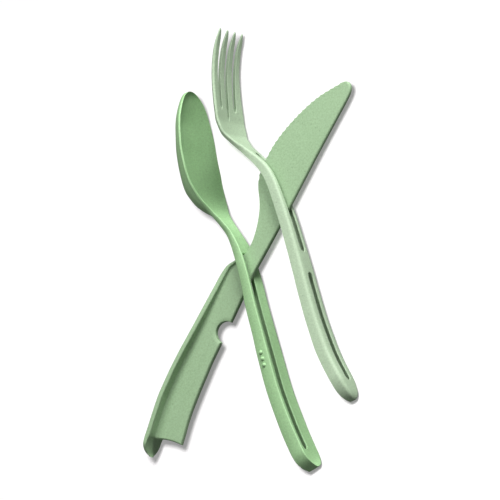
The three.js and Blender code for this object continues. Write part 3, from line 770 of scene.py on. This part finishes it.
# a smooth run of points through the given ones
def curveOf(points, count=12):
    pts = [np.array(p[:2], float) for p in points]
    pts = [2 * pts[0] - pts[1], *pts, 2 * pts[-1] - pts[-2]]
    out = []
    for p0, p1, p2, p3 in zip(pts, pts[1:], pts[2:], pts[3:]):
        k1, k2, k3 = (max(tiny, np.linalg.norm(b - a)) ** 0.5 for a, b in ((p0, p1), (p1, p2), (p2, p3)))
        m1 = (p1 - p0) / k1 - (p2 - p0) / (k1 + k2) + (p2 - p1) / k2
        m2 = (p2 - p1) / k2 - (p3 - p1) / (k2 + k3) + (p3 - p2) / k3
        m1, m2 = m1 * k2, m2 * k2
        for i in range(count):
            t = i / count
            t2, t3 = t * t, t * t * t
            place = (2 * t3 - 3 * t2 + 1) * p1 + (3 * t2 - 2 * t3) * p2
            out.append(place + (t3 - 2 * t2 + t) * m1 + (t3 - t2) * m2)
    out.append(pts[-2])
    return np.array(out)


archCurve, backCurve, upperCurve = curveOf(endArch), curveOf(backEdge), curveOf(upperBack)
bottomCurve, cuttingCurve = curveOf(bottomLine), curveOf(cuttingEdge)
notchAt, notchMiddle, notchHalf = knife["notchAt"], knife["notchMiddle"], knife["notchWidth"] / 2
notchTurns = [math.pi + math.pi * i / 48 for i in range(49)]
notchCircle = np.array([
    (notchAt + notchHalf * math.cos(a), notchMiddle + notchHalf * math.sin(a)) for a in notchTurns
])
backOutline, cutOutline = [archCurve, backCurve, upperCurve], [notchCircle]
tipX = float(upperCurve[:, 0].max())


def heightOn(curve, x):
    order = np.argsort(curve[:, 0], kind="stable")
    return float(np.interp(x, curve[order, 0], curve[order, 1]))


def plateTop(x):
    if x < endArch[-1][0]:
        return heightOn(archCurve, x)
    if x < notchAt - notchHalf:
        return heightOn(backCurve, x)
    if x < notchAt + notchHalf:
        return heightOn(notchCircle, x)
    return heightOn(upperCurve, x)


# the bottom line stops short of the tip, so past the belly the cutting edge itself is read
def plateBottom(x):
    bellyAt = 150
    return heightOn(bottomCurve if x < bellyAt else cuttingCurve, x)


# half the knife's thickness at a point of its plan: plate, planed blade, dished notch and rounded edge
def halfPlate(x, z):
    z = np.asarray(z, float)
    slope = (knife["blade"] - knife["edge"]) / 2 / knife["planeRun"]
    planed = np.minimum(knife["blade"] / 2, knife["blade"] / 2 + (z - knife["planeFrom"]) * slope)
    blade = ease((x - knife["bladeFrom"]) / knife["bladeRun"])
    thick = mix(np.full(len(z), knife["plate"] / 2), np.maximum(planed, knife["edge"] / 2), blade)
    fromNotch = np.hypot(x - notchAt, z - notchMiddle) - notchHalf
    dished = np.clip(1 - fromNotch / knife["notchDishWide"], 0, 1)
    thick = thick - knife["notchDish"] * dished ** 2
    for outline, radius in ((backOutline, knife["edgeRound"]), (cutOutline, knife["cutRound"])):
        thick = thick - roundOff(distanceTo(outline, x, z), radius) * np.minimum(1, thick * 0.8 / radius)
    return np.maximum(thick, knife["thinnest"])


# half of the knife's section at x, as a ring from the foot of the flange to the back of the plate
def knifeSection(x, runs):
    bottom, top = plateBottom(x), plateTop(x)
    share = rowsAt(flangeLine, x)[2]
    closeFrom = knife["flangeStop"] - knife["flangeClose"]
    if x < knife["flangeGrow"]:
        share *= math.sqrt(max(0.0, 1 - (1 - x / knife["flangeGrow"]) ** 2))
    if x > closeFrom:
        share *= math.sqrt(max(0.0, 1 - ((x - closeFrom) / knife["flangeClose"]) ** 2))
    flange = knife["flangeWidth"] / 2 * share
    if x < knife["thickGrow"]:
        thick = knife["flangeThick"] * mix(knife["thickStart"], 1, x / knife["thickGrow"])
    else:
        thinned = ease((x - knife["thinFrom"]) / knife["thinRun"])
        thick = knife["flangeThick"] * mix(1, knife["thinShare"], thinned)
    flangeTop = bottom + thick
    if x > notchAt:
        flangeTop = min(flangeTop, max(bottom + knife["thinnest"], top))
    top = max(top, flangeTop)
    fillet = min(knife["rootFillet"], 0.4 * (top - flangeTop)) * min(1.0, max(0.0, flange - 1.5))
    rootTop = flangeTop + fillet
    heights = [rootTop] + [mix(rootTop, top, 1 - (1 - i / 30) ** 1.5) for i in range(1, 26)]
    heights += [mix(heights[-1], top, k) for k in (0.3, 0.55, 0.75, 0.9, 1.0)]
    sides = halfPlate(x, heights).tolist()
    foot, atRoot = halfPlate(x, [bottom, flangeTop]).tolist()
    wide = max(flange, foot)
    r = min(knife["flangeRound"], thick * 0.4, wide * 0.5, max(0.02, (top - bottom) * 0.25))
    r = mix(r, min(r, knife["bladeRound"]), ease((x - closeFrom) / 20))
    soft = r * cornerShare
    ring = [(0.0, bottom), (wide * 0.5, bottom), (wide - r, bottom)]
    ring += [(wide - soft, bottom + soft), (wide, bottom + r)]
    if flange > atRoot + 0.02:
        root = atRoot + fillet
        shelf = max(root, flange - r)
        ring += [
            (flange, bottom + thick * 0.5), (flange, flangeTop - r), (flange - soft, flangeTop - soft),
            (shelf, flangeTop), (min(mix(root, flange, 0.5), shelf), flangeTop), (root, flangeTop),
            (atRoot + fillet * 0.45, flangeTop + fillet * 0.12),
            (atRoot + fillet * 0.12, flangeTop + fillet * 0.45),
        ]
    else:
        rise = [mix(bottom + r, rootTop, k) for k in (0.3, 0.5, 0.6, 0.7, 0.8, 0.87, 0.93, 0.97)]
        ring += list(zip(halfPlate(x, rise).tolist(), rise))
        ring[3] = (foot - soft, bottom + soft)
    ring += list(zip(sides, heights))
    ring += [(sides[-1] * 0.5, top), (0.0, top)]
    run, normal = runs(x)
    marks = []
    for w, z in ring:
        near = 1 - (z - bottom) / knife["toothFade"] if run > 0 else 0
        marks.append({"edgeRun": run, "edgeNear": float(min(1, max(0, near))), "inward": normal})
    return {"x": x, "strips": [{"top": ring, "under": [], "open": (False, False), "marks": marks}]}


# teeth counted along the cutting edge, and the way from it into the blade, by x
def edgeRuns():
    toothed = curveOf(cuttingEdge[2:12], 16)
    steps = np.linalg.norm(np.diff(toothed, axis=0), axis=1)
    along = np.concatenate([[0], np.cumsum(steps)])
    count = round(along[-1] / knife["toothPitch"])
    order = np.argsort(toothed[:, 0])
    xs, teeth = toothed[order, 0], (along[-1] - along)[order] * count / along[-1]
    slopes = np.gradient(toothed[order, 1], xs)

    def at(x):
        if x <= xs[0] or x >= xs[-1]:
            return 0.0, (0.0, 0.0, 0.0)
        slope = float(np.interp(x, xs, slopes))
        size = math.hypot(slope, 1)
        inward = direction("knife", -slope / size, 0, 1 / size)
        return float(np.interp(x, xs, teeth)), tuple(inward)

    return at


def buildKnife(material):
    notch0, notch1 = notchAt - notchHalf, notchAt + notchHalf
    arch0, arch1 = 8.6, endArch[-1][0]
    flangeStop = knife["flangeStop"] + 0.2
    places = stations([
        (0, 4, 16, "start"), (4, arch0, 12, ""), (arch0, 12.4, 26, ""), (12.4, arch1, 24, ""),
        (arch1, arch1 + 1.2, 8, ""), (arch1 + 1.2, notch0 - 1.5, 48, ""), (notch0 - 1.5, notch0, 6, ""),
        (notch0, notchAt, 26, "start"), (notchAt, notch1, 26, "end"), (notch1, notch1 + 1.5, 6, ""),
        (notch1 + 1.5, 92, 16, ""), (92, 100, 12, ""), (100, flangeStop, 26, "end"),
        (flangeStop, 126, 24, ""), (126, 196, 250, ""), (196, tipX, 40, "end"),
    ])
    runs = edgeRuns()
    points, faces, marks = skin(None, [knifeSection(x, runs) for x in places])
    mesh = closedMesh("knifeBlank", points, faces, layer("knife"), marks)
    print("knife blank:", len(mesh.polygons), "faces")
    return toothedKnife(mesh, material)


# Node tree helpers
def newTree(name, inputs):
    tree = bpy.data.node_groups.new(name, "GeometryNodeTree")
    tree.is_modifier = True
    face = tree.interface
    face.new_socket(name="Geometry", in_out="INPUT", socket_type="NodeSocketGeometry")
    ids = {}
    for label, kind in inputs.items():
        ids[label] = face.new_socket(name=label, in_out="INPUT", socket_type="NodeSocket" + kind).identifier
    face.new_socket(name="Geometry", in_out="OUTPUT", socket_type="NodeSocketGeometry")
    return tree, tree.nodes.new("NodeGroupInput"), tree.nodes.new("NodeGroupOutput"), ids


def feed(tree, socket, value):
    if isinstance(value, bpy.types.NodeSocket):
        tree.links.new(value, socket)
    elif value is not None:
        socket.default_value = value


# a node with its settings and its inputs, which are named, or i0, i1 and so on by their place
def node(tree, kind, settings=None, **inputs):
    made = tree.nodes.new(kind)
    for key, value in (settings or {}).items():
        setattr(made, key, value)
    for key, value in inputs.items():
        byPlace = key[0] == "i" and key[1:].isdigit()
        feed(tree, made.inputs[int(key[1:])] if byPlace else made.inputs[key], value)
    return made


def mathNode(tree, operation, a, b=None):
    return node(tree, "ShaderNodeMath", {"operation": operation}, i0=a, i1=b).outputs[0]


def vectorNode(tree, operation, **inputs):
    return node(tree, "ShaderNodeVectorMath", {"operation": operation}, **inputs).outputs[0]


def readMark(tree, kind, name):
    return node(tree, "GeometryNodeInputNamedAttribute", {"data_type": kind}, Name=name).outputs[0]


# ends a tree: what it made becomes plain mesh and gets its plastic
def finishTree(tree, entry, leave, made):
    real = node(tree, "GeometryNodeRealizeInstances", Geometry=made).outputs[0]
    dressed = node(tree, "GeometryNodeSetMaterial", Geometry=real, Material=entry.outputs["Plastic"])
    tree.links.new(dressed.outputs[0], leave.inputs[0])


# runs a tree on a mesh and gives back the plain mesh that it makes
def runTree(name, mesh, tree, ids, values):
    carrier = inScene(name, mesh)
    step = carrier.modifiers.new(name, "NODES")
    step.node_group = tree
    for label, value in values.items():
        step[ids[label]] = value
    bpy.context.view_layer.update()
    graph = bpy.context.evaluated_depsgraph_get()
    made = bpy.data.meshes.new_from_object(carrier.evaluated_get(graph), depsgraph=graph)
    bpy.data.objects.remove(carrier)
    made.name = name
    return made


# scallops the cutting edge: each pitch is bitten inwards, and the blade swells slightly beside the bite
def toothedKnife(blank, material):
    tree, entry, leave, ids = newTree("scallopedEdge", {
        "Depth": "Float", "Swell": "Float", "Plastic": "Material"})
    phase = mathNode(tree, "FRACT", readMark(tree, "FLOAT", "edgeRun"))
    bite = mathNode(tree, "SINE", mathNode(tree, "MULTIPLY", phase, math.pi))
    weighted = mathNode(tree, "MULTIPLY", bite, readMark(tree, "FLOAT", "edgeNear"))
    depth = mathNode(tree, "MULTIPLY", weighted, entry.outputs["Depth"])
    moved = vectorNode(tree, "SCALE", i0=readMark(tree, "FLOAT_VECTOR", "inward"), Scale=depth)
    swell = mathNode(tree, "MULTIPLY", weighted, entry.outputs["Swell"])
    raised = vectorNode(tree, "SCALE", i0=node(tree, "GeometryNodeInputNormal").outputs[0], Scale=swell)
    offset = vectorNode(tree, "ADD", i0=moved, i1=raised)
    shaped = node(tree, "GeometryNodeSetPosition", Geometry=entry.outputs["Geometry"], Offset=offset)
    finishTree(tree, entry, leave, shaped.outputs[0])
    mesh = runTree("knifeBody", blank, tree, ids, {
        "Depth": knife["toothDepth"] * mm, "Swell": knife["toothSwell"] * mm, "Plastic": material})
    mesh.materials.clear()
    for mark in ("edgeRun", "edgeNear", "inward"):
        if mark in mesh.attributes:
            mesh.attributes.remove(mesh.attributes[mark])
    print("knife body:", len(mesh.polygons), "faces")
    return pieceOf("knifeBody", mesh, material)


# the row of small domes on the spoon's near skirt
def buildBumps(material):
    tree, entry, leave, ids = newTree("bumpRow", {
        "Count": "Int", "Start": "Vector", "Step": "Vector", "Radius": "Float", "Plastic": "Material"})
    row = node(tree, "GeometryNodeMeshLine", {"mode": "OFFSET"}, Count=entry.outputs["Count"],
               **{"Start Location": entry.outputs["Start"], "Offset": entry.outputs["Step"]}).outputs[0]
    dome = node(tree, "GeometryNodeMeshUVSphere", Segments=24, Rings=16, Radius=entry.outputs["Radius"])
    copies = node(tree, "GeometryNodeInstanceOnPoints", Points=row, Instance=dome.outputs[0]).outputs[0]
    soft = node(tree, "GeometryNodeSetShadeSmooth", Geometry=copies).outputs[0]
    finishTree(tree, entry, leave, soft)

    def spot(x):
        _, z, half, _, foot, _ = rowsAt(spoonRows, x)
        w = half - spoon["draft"] * 0.6 - spoon["bumpSunk"]
        return turn @ flatPoint("spoon", x, w, z - foot * spoon["bumpHeight"]) * mm + shift

    steps = spoon["bumps"] - 1
    first, last = spot(spoon["bumpFrom"]), spot(spoon["bumpFrom"] + spoon["bumpPitch"] * steps)
    mesh = runTree("spoonBumps", bpy.data.meshes.new("noMesh"), tree, ids, {
        "Count": spoon["bumps"], "Start": first, "Step": (last - first) / steps,
        "Radius": spoon["bumpSize"] / 2 * mm, "Plastic": material})
    print("spoon bumps:", len(mesh.polygons), "faces")
    return inScene("spoonBumps", mesh)


# Plastic
plastic = {
    "spoon": (0.33, 0.58, 0.275),
    "fork": (0.372, 0.505, 0.335),
    "knife": (0.29, 0.455, 0.25),
    "roughness": 0.55,
    "specular": 0.65,
    "grain": 0.0008,
    "grainDark": 0.86,
    "grainLight": 1.1,
    "bumpStrength": 0.18,
    "bumpHeight": 0.00006,
    "cloud": 0.009,
    "cloudStrength": 0.2,
    "speckSize": 0.0023,
    "speckRare": 0.86,  # cells below this get no speck
    "speckCore": 0.12,
    "speckEdge": 0.24,
    "speckStrength": 0.45,
}


# moulded plastic with a matt, finely grained skin, faint clouding and a few specks
def plasticFor(name, seed):
    material = bpy.data.materials.new(name + "Plastic")
    material.use_nodes = True
    tree = material.node_tree
    tree.nodes.clear()
    base = plastic[name]
    place = node(tree, "ShaderNodeMapping", Vector=node(tree, "ShaderNodeTexCoord").outputs["Object"],
                 Location=(seed, seed * 0.7, 0.0)).outputs[0]

    def noise(size, detail, roughness):
        return node(tree, "ShaderNodeTexNoise", Vector=place, Scale=1 / size, Detail=detail,
                    Roughness=roughness).outputs[0]

    def remap(value, fromMin, fromMax, toMin, toMax):
        return node(tree, "ShaderNodeMapRange", Value=value, **{
            "From Min": fromMin, "From Max": fromMax, "To Min": toMin, "To Max": toMax}).outputs[0]

    def shade(factor, pale=0.0):
        return tuple(min(1, mix(c * factor, 0.8, pale)) for c in base) + (1,)

    def blendOf(factor, a, b):
        return node(tree, "ShaderNodeMix", {"data_type": "RGBA"}, i0=factor, i6=a, i7=b).outputs[2]

    grain = noise(plastic["grain"], 3.0, 0.6)
    cloud = noise(plastic["cloud"], 4.0, 0.55)
    cells = node(tree, "ShaderNodeTexVoronoi", {"feature": "F1"}, Vector=place,
                 Scale=1 / plastic["speckSize"])
    pick = node(tree, "ShaderNodeSeparateColor", i0=cells.outputs["Color"]).outputs[0]
    rare = mathNode(tree, "GREATER_THAN", pick, plastic["speckRare"])
    dot = remap(cells.outputs["Distance"], plastic["speckCore"], plastic["speckEdge"], 1.0, 0.0)
    speck = mathNode(tree, "MULTIPLY", rare, dot)
    dark, light = shade(plastic["grainDark"]), shade(plastic["grainLight"], 0.03)
    fine = blendOf(remap(grain, 0.3, 0.7, 0.0, 1.0), dark, light)
    clouded = blendOf(mathNode(tree, "MULTIPLY", cloud, plastic["cloudStrength"]), fine, shade(1.0, 0.25))
    specked = blendOf(mathNode(tree, "MULTIPLY", speck, plastic["speckStrength"]), clouded, shade(0.6))
    rough = remap(cloud, 0.0, 1.0, plastic["roughness"] - 0.05, plastic["roughness"] + 0.07)
    bump = node(tree, "ShaderNodeBump", Height=grain, Strength=plastic["bumpStrength"],
                Distance=plastic["bumpHeight"]).outputs[0]
    shader = node(tree, "ShaderNodeBsdfPrincipled", Roughness=rough, Normal=bump, **{
        "Base Color": specked, "Specular IOR Level": plastic["specular"]})
    node(tree, "ShaderNodeOutputMaterial", Surface=shader.outputs[0])
    return material


spoonPlastic = plasticFor("spoon", 0.3)
forkPlastic = plasticFor("fork", 1.1)
knifePlastic = plasticFor("knife", 2.3)

spoonBody = buildSpoon(spoonPlastic)
spoonBumps = buildBumps(spoonPlastic)
forkBody = buildFork(forkPlastic)
knifeBody = buildKnife(knifePlastic)

# Camera: the photograph's view of the set, in the set's own plane
view = {
    "imageRight": (0.8788, 0.0291, -0.4765),
    "imageUp": (0.0291, 0.9931, 0.1144),
    "lookAt": (-6.39, 0.19, 0.0),
    "field": 233.6,
    "distance": 4000.0,
    "sensor": 36.0,
}
right = (turn @ Vector(view["imageRight"])).normalized()
upward = turn @ Vector(view["imageUp"])
upward = (upward - right * upward.dot(right)).normalized()
toCamera = right.cross(upward)
lookAt = turn @ Vector(view["lookAt"]) * mm + shift


def lookFrom(obj, place, toward, upHint):
    back = (place - toward).normalized()
    side = upHint.cross(back).normalized()
    turned = Matrix((side, back.cross(side), back)).transposed().to_4x4()
    obj.matrix_world = Matrix.Translation(place) @ turned


cameraData = bpy.data.cameras.new("camera")
cameraData.sensor_width = view["sensor"]
cameraData.lens = view["sensor"] * view["distance"] / view["field"]
cameraData.clip_start, cameraData.clip_end = 0.1, 30
camera = inScene("camera", cameraData)
lookFrom(camera, lookAt + toCamera * view["distance"] * mm, lookAt, upward)
bpy.context.scene.camera = camera

# Light: each lamp's way is image right, image up and towards the camera; sizes are in metres
lamps = {
    "main": {"way": (-0.5, 0.62, 0.6), "distance": 1.4, "size": (0.8, 0.7), "power": 12.0, "on": "set"},
    "top": {"way": (0.2, 0.88, 0.42), "distance": 1.4, "size": (0.8, 0.5), "power": 27.0, "on": "set"},
    "drop": {"way": (-0.13, 0.14, 0.98), "distance": 1.6, "size": (0.22, 0.22), "power": 26.5, "on": "floor"},
}
room = {
    "lampColour": (1.0, 0.995, 0.985),
    "level": 0.17,
    "inGloss": 0.3,
    "floorLit": (0.12, 0.13, 0.12, 1),
    "floorSeen": (0.84, 0.82, 0.84, 1),
    "floorGlow": 0.22,
    "floorReach": 3.0,
    "floorDrop": 0.0001,
}


# 1 where the camera looks, less where a glossy surface does, 0 in the light on the set
def seenFrom(tree, path):
    gloss = mathNode(tree, "MULTIPLY", path.outputs["Is Glossy Ray"], room["inGloss"])
    return mathNode(tree, "MAXIMUM", path.outputs["Is Camera Ray"], gloss)


def buildFloor():
    reach = room["floorReach"]
    mesh = bpy.data.meshes.new("floor")
    corners = [(-reach, -reach, 0), (reach, -reach, 0), (reach, reach, 0), (-reach, reach, 0)]
    mesh.from_pydata(corners, [], [(0, 1, 2, 3)])
    material = bpy.data.materials.new("paleFloor")
    material.use_nodes = True
    tree = material.node_tree
    tree.nodes.clear()
    path = node(tree, "ShaderNodeLightPath")
    paint = node(tree, "ShaderNodeMix", {"data_type": "RGBA"}, i0=path.outputs["Is Camera Ray"],
                 i6=room["floorLit"], i7=room["floorSeen"])
    diffuse = node(tree, "ShaderNodeBsdfDiffuse", Color=paint.outputs[2])
    strength = mathNode(tree, "MULTIPLY", seenFrom(tree, path), room["floorGlow"])
    glow = node(tree, "ShaderNodeEmission", Color=(1, 1, 1, 1), Strength=strength)
    both = node(tree, "ShaderNodeAddShader", i0=diffuse.outputs[0], i1=glow.outputs[0])
    node(tree, "ShaderNodeOutputMaterial", Surface=both.outputs[0])
    mesh.materials.append(material)
    made = inScene("floor", mesh)
    made.location.z = -room["floorDrop"]
    return made


def buildRoom():
    world = bpy.data.worlds.new("paleRoom")
    bpy.context.scene.world = world
    world.use_nodes = True
    tree = world.node_tree
    tree.nodes.clear()
    seen = seenFrom(tree, node(tree, "ShaderNodeLightPath"))
    level = mathNode(tree, "MAXIMUM", seen, room["level"])
    sky = node(tree, "ShaderNodeBackground", Color=(1, 1, 1, 1), Strength=level)
    node(tree, "ShaderNodeOutputWorld", Surface=sky.outputs[0])


floor = buildFloor()
buildRoom()
setGroup = bpy.data.collections.new("setPieces")
floorGroup = bpy.data.collections.new("floorPieces")
for piece in (spoonBody, spoonBumps, forkBody, knifeBody):
    setGroup.objects.link(piece)
floorGroup.objects.link(floor)
for name, lamp in lamps.items():
    data = bpy.data.lights.new(name, "AREA")
    data.shape, data.energy, data.color = "RECTANGLE", lamp["power"], room["lampColour"]
    data.size, data.size_y = lamp["size"]
    light = inScene(name, data)
    way = (right * lamp["way"][0] + upward * lamp["way"][1] + toCamera * lamp["way"][2]).normalized()
    lookFrom(light, lookAt + way * lamp["distance"], lookAt, upward)
    light.light_linking.receiver_collection = setGroup if lamp["on"] == "set" else floorGroup

bpy.context.scene.view_settings.view_transform = "Standard"
print("camera and light done")

for piece, slot in ((spoonBody, "spoon_plastic"), (spoonBumps, "spoon_plastic"), (forkBody, "fork_plastic"),
                    (knifeBody, "knife_plastic")):
    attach(piece, "root")
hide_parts("spoon")
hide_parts("fork")
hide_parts("knife")
